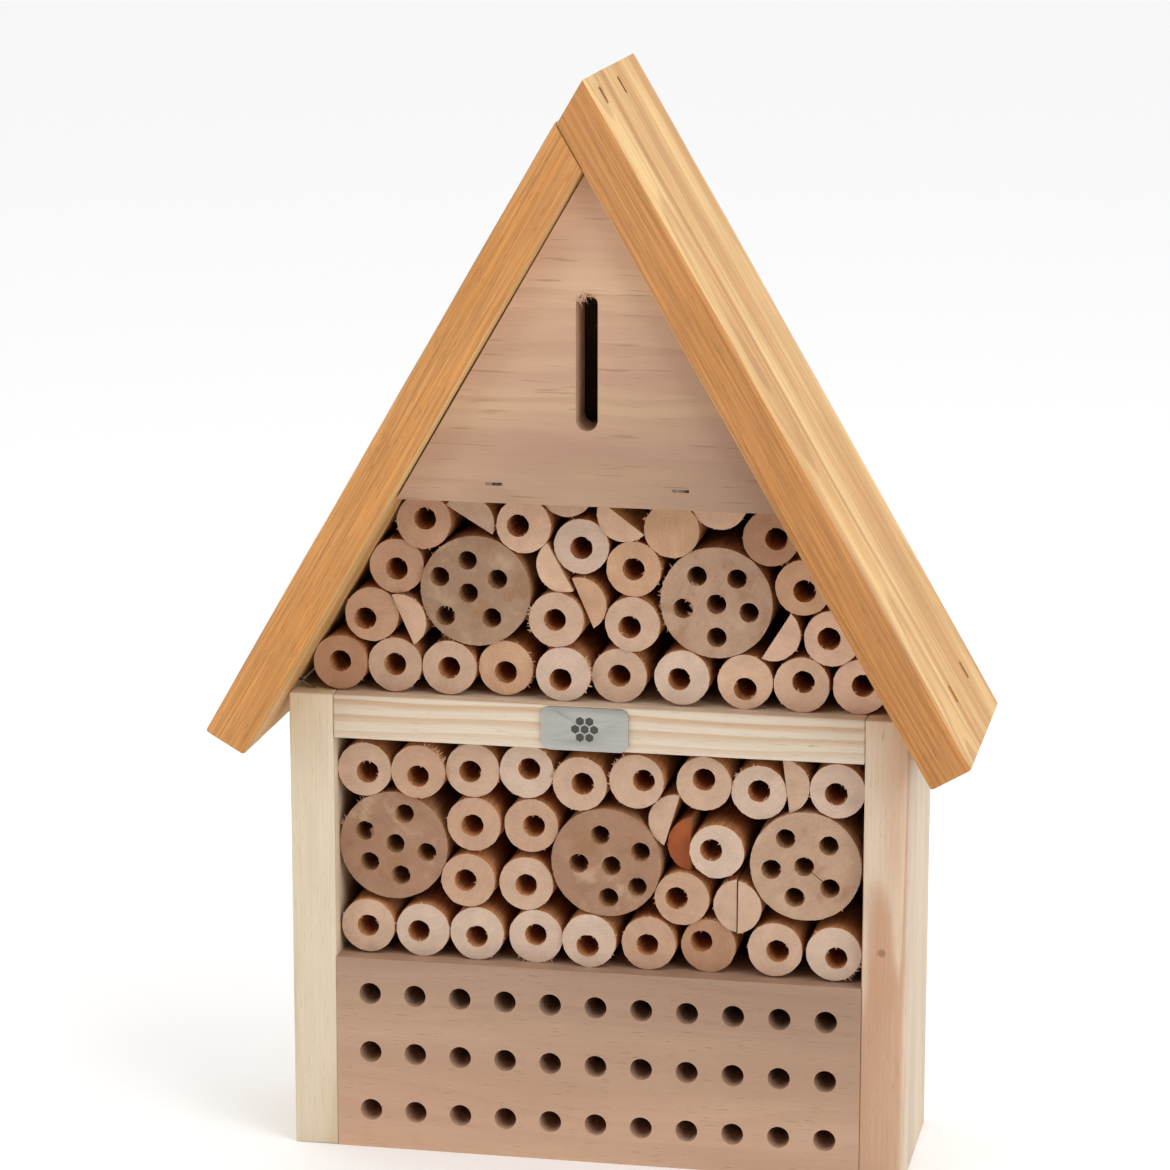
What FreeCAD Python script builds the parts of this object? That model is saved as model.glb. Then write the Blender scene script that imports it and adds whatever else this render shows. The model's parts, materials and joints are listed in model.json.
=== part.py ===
import FreeCAD, Part
import math
import os
import re
import Sketcher

# Insect hotel: a small wooden house for solitary bees and other garden insects.
# Two side boards, a shelf and a drilled block make the box. Two sloping boards make the roof.
# A gable panel with a slot closes the attic, and a thin panel closes the back.
# The two bays are packed with drilled rods, split rods and thick drilled rounds.
# +Z is up, the open front faces -Y, and the origin is under the middle of the whole object.

os.makedirs("parts", exist_ok=True)
doc = FreeCAD.newDocument("InsectHotel")
Vector = FreeCAD.Vector

# ---------------------------------------------------------------- sizes, in millimetres and degrees

SIZES = [
    # the box
    ("bay_width", "190"),  # clear width between the side boards
    ("body_depth", "64"),  # front to back of the box
    ("side_board", "16"),  # thickness of the side boards
    ("shelf_board", "16"),  # thickness of the shelf between the bays
    ("edge_round", "1.5"),  # eased arrises of the planed boards
    # the drilled block at the bottom
    ("block_height", "71.5"),
    ("block_bore", "8"),
    ("block_columns", "11"),
    ("block_rows", "3"),
    ("bore_floor", "10"),  # wood left behind every blind bore
    # the roof
    ("roof_slope", "59.85"),
    ("roof_board", "16"),
    ("roof_overhang", "25.5"),  # roof in front of the box
    ("eave_overhang", "19.6"),  # roof below the top of the side boards, along the slope
    ("ridge_step", "0.8"),  # the right board's end stands this far inside the left board's face
    # the attic
    ("gable_board", "16"),
    ("attic_board", "16"),
    ("fit_gap", "0.4"),  # between the roof and the gable or the back panel
    ("slot_width", "7.6"),
    ("slot_height", "47.5"),
    ("slot_share", "0.43"),  # middle of the slot, as a share of the gable's height
    ("back_panel", "3.5"),
    # the fill, laid out in pitches: one pitch is the room one rod takes
    ("rods_across", "9"),
    ("rod_play", "1.6"),
    ("round_share", "1.87"),  # diameter of the thick rounds, in pitches
    ("lower_bay_share", "3.85"),  # clear height of the lower bay, in pitches
    ("upper_bay_share", "3.55"),
    ("rod_recess", "5"),  # front ends of the longest rods behind the front of the box
    ("rod_bore", "8"),
    ("round_bore", "7"),
    ("round_ring", "0.6"),  # radius of the ring of bores, as a share of the round's radius
    ("fill_gap", "0.15"),
    # the plain plate on the shelf
    ("plate_width", "31.2"),
    ("plate_share", "0.98"),  # height of the plate, as a share of the shelf's thickness
    ("plate_thickness", "1.2"),
    ("plate_corner", "3.2"),
    ("plate_offset", "-3.7"),  # the plate sits a little left of the middle
    ("cell_radius", "1.6"),  # engraved honeycomb cells
    ("cell_wall", "0.6"),
    ("cell_depth", "0.35"),
    # the hanger on the back
    ("hanger_width", "30"),
    ("hanger_height", "34"),
    ("hanger_thickness", "1.5"),
    ("hanger_corner", "5"),
    ("hanger_hole", "7"),
    ("hanger_rise", "20"),  # hanging hole above the screws
    ("pin_room", "16"),  # hole in the back panel behind the hanging hole
    ("screw_spacing", "18"),
    ("screw_shank", "3"),
    ("screw_play", "0.5"),
    ("screw_head", "5.8"),
    ("screw_head_height", "1.9"),
    ("screw_grip", "11"),  # screw length in the attic floor
    # the staples
    ("staple_crown", "6"),
    ("staple_wire", "1.1"),
    ("staple_thickness", "0.6"),
    ("staple_bite", "9"),  # staple length in the second piece of wood
    ("eave_staple_shift", "1"),  # up the slope from where a side board's outer face comes up
    ("gable_staple_rise", "6.6"),
    ("gable_staple_spacing", "65"),
    # worked out from the sizes above
    ("pitch", "=bay_width / rods_across"),
    ("rod_diameter", "=pitch - rod_play"),
    ("round_diameter", "=pitch * round_share"),
    ("half_width", "=bay_width / 2 + side_board"),
    ("shelf_bottom", "=block_height + pitch * lower_bay_share"),
    ("side_height", "=shelf_bottom + shelf_board"),
    ("gable_bottom", "=side_height + pitch * upper_bay_share"),
    ("attic_top", "=gable_bottom + attic_board"),
    ("slope_tan", "=tan(roof_slope * 1deg)"),
    ("slope_cos", "=cos(roof_slope * 1deg)"),
    ("slope_sin", "=sin(roof_slope * 1deg)"),
    ("inner_apex", "=side_height + half_width * slope_tan"),
    ("outer_apex", "=inner_apex + roof_board / slope_cos"),
    ("roof_length", "=half_width / slope_cos + roof_board * slope_tan + eave_overhang"),
    ("roof_depth", "=roof_overhang + body_depth + back_panel"),
    ("overall_depth", "=roof_depth + hanger_thickness + screw_head_height"),
    ("roof_front", "=-overall_depth / 2"),
    ("body_front", "=roof_front + roof_overhang"),
    ("body_back", "=body_front + body_depth"),
    ("panel_outside", "=body_back + back_panel"),
    ("gable_front", "=body_front - gable_board"),
    ("column_pitch", "=bay_width / (block_columns + 0.5)"),
    ("row_pitch", "=block_height / (block_rows + 0.25)"),
    ("first_row", "=block_height / 5"),
    ("slot_middle", "=gable_bottom + (inner_apex - gable_bottom) * slot_share"),
    ("plate_height", "=shelf_board * plate_share"),
    ("shelf_middle", "=shelf_bottom + shelf_board / 2"),
    ("screw_level", "=gable_bottom + attic_board / 2"),
    ("hanging_level", "=screw_level + hanger_rise"),
    ("hanger_bottom", "=screw_level + hanger_rise / 2 - hanger_height / 2"),
]

sheet = doc.addObject("Spreadsheet::Sheet", "Sizes")
for row, (alias, content) in enumerate(SIZES, start=1):
    sheet.set("A%d" % row, alias)
    sheet.set("B%d" % row, content)
    sheet.setAlias("B%d" % row, alias)
doc.recompute()
ALIASES = {alias for alias, content in SIZES}
scratch = doc.addObject("Spreadsheet::Sheet", "Scratch")
SCRATCH_CELL = "A1"


def size(alias):
    """The present value of one named cell."""
    value = sheet.get(alias)
    return float(getattr(value, "Value", value))


def linked(formula):
    """A formula in cell names, written the way an expression needs it."""
    return re.sub("[a-z_]+", lambda word: "Sizes." + word[0] if word[0] in ALIASES else word[0], formula)


def worked_out(formula):
    """What a formula in cell names comes to now."""
    scratch.set(SCRATCH_CELL, "=" + linked(formula))
    scratch.recompute()
    value = scratch.get(SCRATCH_CELL)
    return float(getattr(value, "Value", value))


# ---------------------------------------------------------------- helpers for the flat pieces


def add_sketch(body, name, level):
    """A sketch on the body's front plane, moved back to the given depth."""
    sketch = body.newObject("Sketcher::SketchObject", name)
    plane = [item for item in body.Origin.OriginFeatures if item.Role == "XZ_Plane"][0]
    sketch.AttachmentSupport = [(plane, "")]
    sketch.MapMode = "FlatFace"
    sketch.setExpression("AttachmentOffset.Base.z", linked("-(" + level + ")"))
    return sketch


def pin_point(sketch, edge, vertex, across, up):
    """Ties one point of a sketch to two formulas, measured from the origin."""
    for kind, formula in (("DistanceX", across), ("DistanceY", up)):
        start = worked_out(formula)
        index = sketch.addConstraint(Sketcher.Constraint(kind, -1, 1, edge, vertex, start))
        sketch.setExpression("Constraints[%d]" % index, linked(formula))


def add_outline(sketch, corners):
    """A closed outline through corners that are given as pairs of formulas."""
    count = len(corners)
    first = sketch.GeometryCount
    spots = [Vector(worked_out(across), worked_out(up), 0) for across, up in corners]
    for k in range(count):
        sketch.addGeometry(Part.LineSegment(spots[k], spots[(k + 1) % count]), False)
    for k in range(count):
        following = first + (k + 1) % count
        sketch.addConstraint(Sketcher.Constraint("Coincident", first + k, 2, following, 1))
    for k in range(count):
        pin_point(sketch, first + k, 1, corners[k][0], corners[k][1])


def add_circle(sketch, across, up, diameter):
    """A circle with its centre and diameter tied to formulas."""
    centre = Vector(worked_out(across), worked_out(up), 0)
    edge = sketch.addGeometry(Part.Circle(centre, Vector(0, 0, 1), worked_out(diameter) / 2), False)
    pin_point(sketch, edge, 3, across, up)
    index = sketch.addConstraint(Sketcher.Constraint("Diameter", edge, worked_out(diameter)))
    sketch.setExpression("Constraints[%d]" % index, linked(diameter))


def add_body(name, corners, back, depth):
    """A body padded forward from its back plane, with the outline seen from the front."""
    body = doc.addObject("PartDesign::Body", name)
    sketch = add_sketch(body, name + "_outline", back)
    add_outline(sketch, corners)
    pad = body.newObject("PartDesign::Pad", name + "_pad")
    pad.Profile = sketch
    pad.setExpression("Length", linked(depth))
    doc.recompute()
    return body


def add_pocket(body, name, sketch, depth):
    """A pocket going back from its sketch, right through when no depth is given."""
    doc.recompute()
    before = body.Tip.Shape.Volume
    pocket = body.newObject("PartDesign::Pocket", name)
    pocket.Profile = sketch
    if depth:
        pocket.setExpression("Length", linked(depth))
    else:
        pocket.Type = "ThroughAll"
    doc.recompute()
    if body.Tip.Shape.Volume >= before:
        raise RuntimeError(name + " takes no wood away")


def round_edges(body, name, radius, wanted):
    """Rounds the body's straight edges for which wanted(middle, direction) holds."""
    names = []
    for number, edge in enumerate(body.Shape.Edges, start=1):
        if len(edge.Vertexes) == 2 and edge.Curve.TypeId == "Part::GeomLine":
            middle = edge.valueAt((edge.FirstParameter + edge.LastParameter) / 2)
            if wanted(middle, edge.tangentAt(edge.FirstParameter)):
                names.append("Edge%d" % number)
    base = body.Tip
    fillet = body.newObject("PartDesign::Fillet", name)
    fillet.Base = (base, names)
    fillet.setExpression("Radius", linked(radius))
    body.Tip = fillet
    doc.recompute()


def rectangle(left, right, bottom, top):
    return [(left, bottom), (right, bottom), (right, top), (left, top)]


NODES = {}


def keep(name, item):
    """Makes an object one of the finished pieces."""
    item.Label = name
    NODES[name] = item


def keep_cut(name, blank, tools):
    """A finished piece: the blank with the room for its staples or screws taken out."""
    blank.Label = name + "_blank"
    cut = doc.addObject("Part::Cut", name + "_cut")
    cut.Base = blank
    cut.Tool = tools
    keep(name, cut)


def group(name, members):
    compound = doc.addObject("Part::Compound", name)
    compound.Links = members
    return compound


# ---------------------------------------------------------------- the staples
# Flat steel wire bent to a U. Each is driven flush, so the wood has a pocket of the same shape.

SLOPE = math.radians(size("roof_slope"))
RIGHT_DOWN = Vector(math.cos(SLOPE), 0, -math.sin(SLOPE))
RIGHT_OUT = Vector(math.sin(SLOPE), 0, math.cos(SLOPE))
LEFT_DOWN = Vector(-math.cos(SLOPE), 0, -math.sin(SLOPE))
LEFT_OUT = Vector(-math.sin(SLOPE), 0, math.cos(SLOPE))
ACROSS = Vector(1, 0, 0)
BACK = Vector(0, 1, 0)
UP = Vector(0, 0, 1)


def staple(name, spot, along, inward, drive, leg):
    """One staple: crown along one direction in the surface, legs driven the way the gun points."""
    side = inward.cross(along)
    crown = doc.addObject("Part::Box", name + "_crown")
    crown.setExpression("Length", linked("staple_crown"))
    crown.setExpression("Width", linked("staple_wire"))
    crown.setExpression("Height", linked("staple_thickness"))
    corner = spot - along * (size("staple_crown") / 2) - side * (size("staple_wire") / 2)
    crown.Placement = FreeCAD.Placement(corner, FreeCAD.Rotation(along, side, inward, "XYZ"))
    pieces = [crown]
    square = (along - drive * along.dot(drive)).normalize()
    for end in (0, 1):
        piece = doc.addObject("Part::Box", name + "_leg%d" % (end + 1))
        piece.setExpression("Length", linked("staple_thickness"))
        piece.setExpression("Width", linked("staple_wire"))
        piece.setExpression("Height", linked(leg))
        start = corner + along * (end * size("staple_crown")) + inward * (size("staple_thickness") / 2)
        start = start - square * (end * size("staple_thickness"))
        piece.Placement = FreeCAD.Placement(start, FreeCAD.Rotation(square, side, drive, "XYZ"))
        pieces.append(piece)
    fused = doc.addObject("Part::MultiFuse", name)
    fused.Shapes = pieces
    return fused


gable_staples = []
for k, hand in enumerate((-1, 1), start=1):
    spot = Vector(hand * size("gable_staple_spacing") / 2, size("gable_front"), size("gable_bottom"))
    spot = spot + UP * size("gable_staple_rise")
    gable_staples.append(
        staple("gable_staple%d" % k, spot, ACROSS, BACK, BACK, "gable_board + staple_bite")
    )
gable_staples = group("gable_staple_group", gable_staples)
keep("gable_staples", gable_staples)

# Where the staples sit: at the ridge and the eaves as shares of the roof's depth from the front, on
# the back as shares of the side boards' height, and down from the ridge in board thicknesses.
RIDGE_DEPTHS = (0.17, 0.53)
EAVE_DEPTHS = (0.36, 0.74)
BACK_LEVELS = (0.15, 0.5, 0.85)
RIDGE_DROP = 0.58

# The ridge staples are driven down the length of the left board, into its end grain.
APEX = Vector(0, 0, size("outer_apex"))
ridge_staples = []
for k, share in enumerate(RIDGE_DEPTHS, start=1):
    spot = APEX + RIGHT_DOWN * (size("roof_board") * RIDGE_DROP)
    spot = spot + BACK * (size("roof_front") + size("roof_depth") * share)
    ridge_staples.append(
        staple(
            "ridge_staple%d" % k, spot, RIGHT_DOWN, RIGHT_OUT * -1, LEFT_DOWN,
            "roof_board / sin(2 * roof_slope * 1deg) + staple_bite",
        )
    )
ridge_staples = group("ridge_staple_group", ridge_staples)
keep("ridge_staples", ridge_staples)

# The eave staples go square through the roof into the top corner of each side board.
eave_staples = {}
for hand, down, out in (("left", LEFT_DOWN, LEFT_OUT), ("right", RIGHT_DOWN, RIGHT_OUT)):
    members = []
    for k, share in enumerate(EAVE_DEPTHS, start=1):
        spot = APEX + down * (size("roof_length") - size("eave_overhang") - size("eave_staple_shift"))
        spot = spot + BACK * (size("roof_front") + size("roof_depth") * share)
        name = "%s_eave_staple%d" % (hand, k)
        members.append(staple(name, spot, down, out * -1, out * -1, "roof_board + staple_bite"))
    eave_staples[hand] = group(hand + "_eave_staple_group", members)
    keep(hand + "_eave_staples", eave_staples[hand])

# The back panel is stapled to the rear edges of the side boards.
back_staples = {}
for hand, sign in (("left", -1), ("right", 1)):
    members = []
    for k, share in enumerate(BACK_LEVELS, start=1):
        across = sign * (size("half_width") - size("side_board") / 2)
        spot = Vector(across, size("panel_outside"), size("side_height") * share)
        name = "%s_back_staple%d" % (hand, k)
        members.append(staple(name, spot, UP, BACK * -1, BACK * -1, "back_panel + staple_bite"))
    back_staples[hand] = group(hand + "_back_staple_group", members)
keep("back_staples", group("back_staple_group", list(back_staples.values())))

# ---------------------------------------------------------------- the box


def is_upright(direction):
    return abs(direction.z) > 0.99


front = size("body_front")
for hand, sign in (("left", "-"), ("right", "")):
    body = add_body(
        hand + "_side",
        rectangle(sign + "half_width", sign + "bay_width / 2", "0", "side_height"),
        "body_back",
        "body_depth",
    )
    outside = worked_out(sign + "half_width")
    round_edges(
        body, hand + "_side_arris", "edge_round",
        lambda middle, direction: is_upright(direction) and abs(middle.x - outside) < 0.01,
    )
    fixings = group(hand + "_side_fixings", [eave_staples[hand], back_staples[hand]])
    keep_cut(hand + "_side_board", body, fixings)

shelf = add_body(
    "shelf_body",
    rectangle("-bay_width / 2", "bay_width / 2", "shelf_bottom", "side_height"),
    "body_back",
    "body_depth",
)
keep("shelf", shelf)

# The block at the bottom has a grid of blind bores from the front.
block = add_body(
    "block_body",
    rectangle("-bay_width / 2", "bay_width / 2", "0", "block_height"),
    "body_back",
    "body_depth",
)
bores = add_sketch(block, "block_bores", "body_front")
for row in range(int(size("block_rows"))):
    for column in range(int(size("block_columns"))):
        add_circle(
            bores,
            "column_pitch * ( %d - ( block_columns - 1 ) / 2 )" % column,
            "first_row + row_pitch * %d" % row,
            "block_bore",
        )
add_pocket(block, "block_bore_pocket", bores, "body_depth - bore_floor")
keep("drilled_block", block)

# ---------------------------------------------------------------- the roof


def runs_down(direction, down):
    """Whether an edge has the direction of a board's length; the cuts at the ridge lean the other way."""
    return abs(direction.dot(down)) > 0.99


# The left board's top end is cut to lie against the underside of the right board.
RIDGE_REACH = "roof_board / sin(2 * roof_slope * 1deg)"
left_roof = add_body(
    "left_roof",
    [
        ("-( " + RIDGE_REACH + " ) * slope_cos", "outer_apex - ( " + RIDGE_REACH + " ) * slope_sin"),
        ("-roof_length * slope_cos", "outer_apex - roof_length * slope_sin"),
        (
            "-roof_length * slope_cos + roof_board * slope_sin",
            "outer_apex - roof_length * slope_sin - roof_board * slope_cos",
        ),
        ("0", "inner_apex"),
    ],
    "panel_outside",
    "roof_depth",
)
round_edges(
    left_roof, "left_roof_arris", "edge_round",
    lambda middle, direction: runs_down(direction, LEFT_DOWN),
)
left_roof_fixings = group("left_roof_fixings", [ridge_staples, eave_staples["left"]])
keep_cut("left_roof_board", left_roof, left_roof_fixings)

# The right board runs over the left one; its top end is cut a step inside the left board's face.
STEP_TOP = "ridge_step / sin(2 * roof_slope * 1deg)"
STEP_LOW = "( ridge_step - roof_board * cos(2 * roof_slope * 1deg) ) / sin(2 * roof_slope * 1deg)"
right_roof = add_body(
    "right_roof",
    [
        ("( " + STEP_TOP + " ) * slope_cos", "outer_apex - ( " + STEP_TOP + " ) * slope_sin"),
        ("roof_length * slope_cos", "outer_apex - roof_length * slope_sin"),
        (
            "roof_length * slope_cos - roof_board * slope_sin",
            "outer_apex - roof_length * slope_sin - roof_board * slope_cos",
        ),
        (
            "( " + STEP_LOW + " ) * slope_cos - roof_board * slope_sin",
            "outer_apex - ( " + STEP_LOW + " ) * slope_sin - roof_board * slope_cos",
        ),
    ],
    "panel_outside",
    "roof_depth",
)
round_edges(
    right_roof, "right_roof_arris", "edge_round",
    lambda middle, direction: runs_down(direction, RIGHT_DOWN),
)
right_roof_fixings = group("right_roof_fixings", [ridge_staples, eave_staples["right"]])
keep_cut("right_roof_board", right_roof, right_roof_fixings)

# ---------------------------------------------------------------- the hanger on the back

screws = []
clearances = []
for k, hand in enumerate((-1, 1), start=1):
    across = hand * size("screw_spacing") / 2
    head = doc.addObject("Part::Cylinder", "screw_head%d" % k)
    head.setExpression("Radius", linked("screw_head / 2"))
    head.setExpression("Height", linked("screw_head_height"))
    shank = doc.addObject("Part::Cylinder", "screw_shank%d" % k)
    shank.setExpression("Radius", linked("screw_shank / 2"))
    shank.setExpression("Height", linked("hanger_thickness + back_panel + screw_grip"))
    room = doc.addObject("Part::Cylinder", "screw_room%d" % k)
    room.setExpression("Radius", linked("( screw_shank + screw_play ) / 2"))
    room.setExpression("Height", linked("hanger_thickness + back_panel"))
    outside = size("panel_outside") + size("hanger_thickness")
    forward = FreeCAD.Rotation(ACROSS, 90)
    head.Placement = FreeCAD.Placement(
        Vector(across, outside + size("screw_head_height"), size("screw_level")), forward
    )
    shank.Placement = FreeCAD.Placement(Vector(across, outside, size("screw_level")), forward)
    room.Placement = shank.Placement
    screw = doc.addObject("Part::MultiFuse", "screw%d" % k)
    screw.Shapes = [head, shank]
    screws.append(screw)
    clearances.append(room)
screws = group("screw_group", screws)
clearances = group("screw_rooms", clearances)
keep("hanger_screws", screws)

hanger = add_body(
    "hanger_body",
    rectangle("-hanger_width / 2", "hanger_width / 2", "hanger_bottom", "hanger_bottom + hanger_height"),
    "panel_outside + hanger_thickness",
    "hanger_thickness",
)
round_edges(hanger, "hanger_corners", "hanger_corner", lambda middle, direction: abs(direction.y) > 0.99)
holes = add_sketch(hanger, "hanger_holes", "panel_outside")
add_circle(holes, "0", "hanging_level", "hanger_hole")
for sign in ("-", ""):
    add_circle(holes, sign + "screw_spacing / 2", "screw_level", "screw_shank + screw_play")
add_pocket(hanger, "hanger_hole_pocket", holes, None)
keep("hanger_plate", hanger)

# ---------------------------------------------------------------- the gable, the attic floor and the back


def under_roof(level, gap):
    """How far from the middle the roof's underside stands at a level."""
    return "( inner_apex - " + level + " ) / slope_tan - " + gap + " / slope_sin"


gable_half = under_roof("gable_bottom", "fit_gap")
gable = add_body(
    "gable_body",
    [
        ("-( " + gable_half + " )", "gable_bottom"),
        (gable_half, "gable_bottom"),
        ("0", "inner_apex - fit_gap / slope_cos"),
    ],
    "body_front",
    "gable_board",
)
slot = add_sketch(gable, "gable_slot", "gable_front")
half_slot = size("slot_width") / 2
reach = (size("slot_height") - size("slot_width")) / 2
middle = size("slot_middle")
ends = []
for sign, start, stop in ((1, 0, math.pi), (-1, math.pi, 2 * math.pi)):
    circle = Part.Circle(Vector(0, middle + sign * reach, 0), Vector(0, 0, 1), half_slot)
    ends.append(slot.addGeometry(Part.ArcOfCircle(circle, start, stop), False))
sides = []
for sign in (-1, 1):
    low = Vector(sign * half_slot, middle - reach, 0)
    high = Vector(sign * half_slot, middle + reach, 0)
    sides.append(slot.addGeometry(Part.LineSegment(low, high), False))
slot.addConstraint(Sketcher.Constraint("Tangent", sides[1], 2, ends[0], 1))
slot.addConstraint(Sketcher.Constraint("Tangent", ends[0], 2, sides[0], 2))
slot.addConstraint(Sketcher.Constraint("Tangent", sides[0], 1, ends[1], 1))
slot.addConstraint(Sketcher.Constraint("Tangent", ends[1], 2, sides[1], 1))
slot.addConstraint(Sketcher.Constraint("Equal", ends[0], ends[1]))
width = slot.addConstraint(Sketcher.Constraint("Radius", ends[0], half_slot))
slot.setExpression("Constraints[%d]" % width, linked("slot_width / 2"))
pin_point(slot, ends[0], 3, "0", "slot_middle + ( slot_height - slot_width ) / 2")
pin_point(slot, ends[1], 3, "0", "slot_middle - ( slot_height - slot_width ) / 2")
add_pocket(gable, "gable_slot_pocket", slot, None)
keep_cut("gable_panel", gable, gable_staples)

attic = add_body(
    "attic_body",
    [
        ("-( " + under_roof("gable_bottom", "0") + " )", "gable_bottom"),
        (under_roof("gable_bottom", "0"), "gable_bottom"),
        (under_roof("attic_top", "0"), "attic_top"),
        ("-( " + under_roof("attic_top", "0") + " )", "attic_top"),
    ],
    "body_back",
    "body_depth",
)
keep_cut("attic_floor", attic, group("attic_fixings", [gable_staples, screws]))

panel_half = under_roof("side_height", "fit_gap")
panel = add_body(
    "panel_body",
    [
        ("-( " + panel_half + " )", "0"),
        (panel_half, "0"),
        (panel_half, "side_height"),
        ("0", "inner_apex - fit_gap / slope_cos"),
        ("-( " + panel_half + " )", "side_height"),
    ],
    "panel_outside",
    "back_panel",
)
pin_hole = add_sketch(panel, "panel_hole", "body_back")
add_circle(pin_hole, "0", "hanging_level", "pin_room")
add_pocket(panel, "panel_hole_pocket", pin_hole, None)
keep_cut("back_panel", panel, group("panel_fixings", [NODES["back_staples"], clearances]))

# ---------------------------------------------------------------- the plain plate on the shelf
# Brushed metal with a small engraved honeycomb: one cell with six around it.

plate = add_body(
    "plate_body",
    rectangle(
        "plate_offset - plate_width / 2", "plate_offset + plate_width / 2",
        "shelf_middle - plate_height / 2", "shelf_middle + plate_height / 2",
    ),
    "body_front",
    "plate_thickness",
)
round_edges(plate, "plate_corners", "plate_corner", lambda middle, direction: abs(direction.y) > 0.99)
cells = add_sketch(plate, "plate_cells", "body_front - plate_thickness")
CELL_PITCH = "( cell_radius * 2 * cos(30deg) + cell_wall )"
for spoke in range(7):
    away = "0" if spoke == 0 else CELL_PITCH
    across = "plate_offset + %s * cos(%ddeg)" % (away, 60 * spoke)
    up = "shelf_middle + %s * sin(%ddeg)" % (away, 60 * spoke)
    corners = []
    for corner in range(6):
        turn = 30 + 60 * corner
        corners.append(
            (across + " + cell_radius * cos(%ddeg)" % turn, up + " + cell_radius * sin(%ddeg)" % turn)
        )
    add_outline(cells, corners)
add_pocket(plate, "plate_cell_pocket", cells, "cell_depth")
keep("nameplate", plate)

# ---------------------------------------------------------------- the fill: where each piece lies
# Places are in pitches from the left side board's inner face and from the bay's floor, and were
# chosen by hand. turn is the way a split rod's round side faces, in degrees from the right.

RADIUS = {"rod": size("rod_diameter") / 2, "round": size("round_diameter") / 2}
FULL = None


class Piece:
    """One piece of the fill, seen from the front."""

    def __init__(self, floor, thin, kind, across, up, turn, short, bore):
        self.kind = kind
        self.thin = thin
        self.radius = RADIUS["round" if kind == "round" else "rod"] * thin
        self.x = -size("bay_width") / 2 + across * size("pitch")
        self.z = floor + up * size("pitch")
        self.turn = turn
        self.short = short
        self.bore = bore

    def reach(self, dx, dz):
        """How far the piece extends in a unit direction, from the origin."""
        centre = self.x * dx + self.z * dz
        if self.turn is FULL:
            return centre + self.radius
        ux = math.cos(math.radians(self.turn))
        uz = math.sin(math.radians(self.turn))
        facing = dx * ux + dz * uz
        flat = SPLIT_OFFSET * self.radius
        if self.radius * facing >= flat:
            return centre + self.radius
        half_chord = math.sqrt(self.radius ** 2 - flat ** 2)
        return centre + flat * facing + half_chord * abs(dz * ux - dx * uz)


SPLIT_OFFSET = 0.15  # a saw cut takes the split rods a little past their middle
WAYS = 48
DIRECTIONS = [
    (math.cos(2 * math.pi * k / WAYS), math.sin(2 * math.pi * k / WAYS)) for k in range(WAYS)
]
NEIGHBOURS = 1.3  # pieces further apart than this, in summed radii, cannot come to touch
SWEEPS = 600
SETTLED = 0.1  # what may be left to ease apart, as a share of the gap
THINNER = 0.97  # each new pick of sticks when a bay is too crowded for the last one


def clear_way(one, other):
    """The direction in which two pieces stand furthest apart, and by how much."""
    dx = other.x - one.x
    dz = other.z - one.z
    apart = math.hypot(dx, dz)
    toward = (dx / apart, dz / apart)
    ways = [toward]
    if one.turn is not FULL or other.turn is not FULL:
        ways = ways + DIRECTIONS
    gaps = [(-other.reach(-ax, -az) - one.reach(ax, az), ax, az) for ax, az in ways]
    return max(gaps)


def settle(pieces, walls):
    """Eases the pieces apart until none touches another or a wall, a half-plane, and tells if it could."""
    gap = size("fill_gap")
    pairs = [(one, other) for k, one in enumerate(pieces) for other in pieces[k + 1:]]
    for _ in range(SWEEPS):
        worst = 0.0
        for one, other in pairs:
            reach = (one.radius + other.radius) * NEIGHBOURS
            if math.hypot(one.x - other.x, one.z - other.z) > reach:
                continue
            found, ax, az = clear_way(one, other)
            if found < gap:
                move = (gap - found) / 2
                one.x -= ax * move
                one.z -= az * move
                other.x += ax * move
                other.z += az * move
                worst = max(worst, gap - found)
        for piece in pieces:
            for nx, nz, limit in walls:
                short = limit + gap + piece.reach(-nx, -nz)
                if short > 0:
                    piece.x += nx * short
                    piece.z += nz * short
                    worst = max(worst, short)
        if worst < gap * SETTLED:
            return True
    return False


def arranged(plan, floor, walls):
    """The pieces of a plan, eased apart; a bay too crowded for its sticks is filled with thinner ones."""
    thin = 1.0
    while True:
        pieces = [Piece(floor, thin, *entry[1:]) for entry in plan]
        if settle(pieces, walls):
            return pieces
        thin *= THINNER


HALF = size("bay_width") / 2
lower_walls = [
    (1, 0, -HALF), (-1, 0, -HALF), (0, 1, size("block_height")), (0, -1, -size("shelf_bottom")),
]
lean = size("inner_apex") * math.cos(SLOPE)
upper_walls = [
    (math.sin(SLOPE), -math.cos(SLOPE), -lean), (-math.sin(SLOPE), -math.cos(SLOPE), -lean),
    (0, 1, size("side_height")), (0, -1, -size("gable_bottom")),
]

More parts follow.
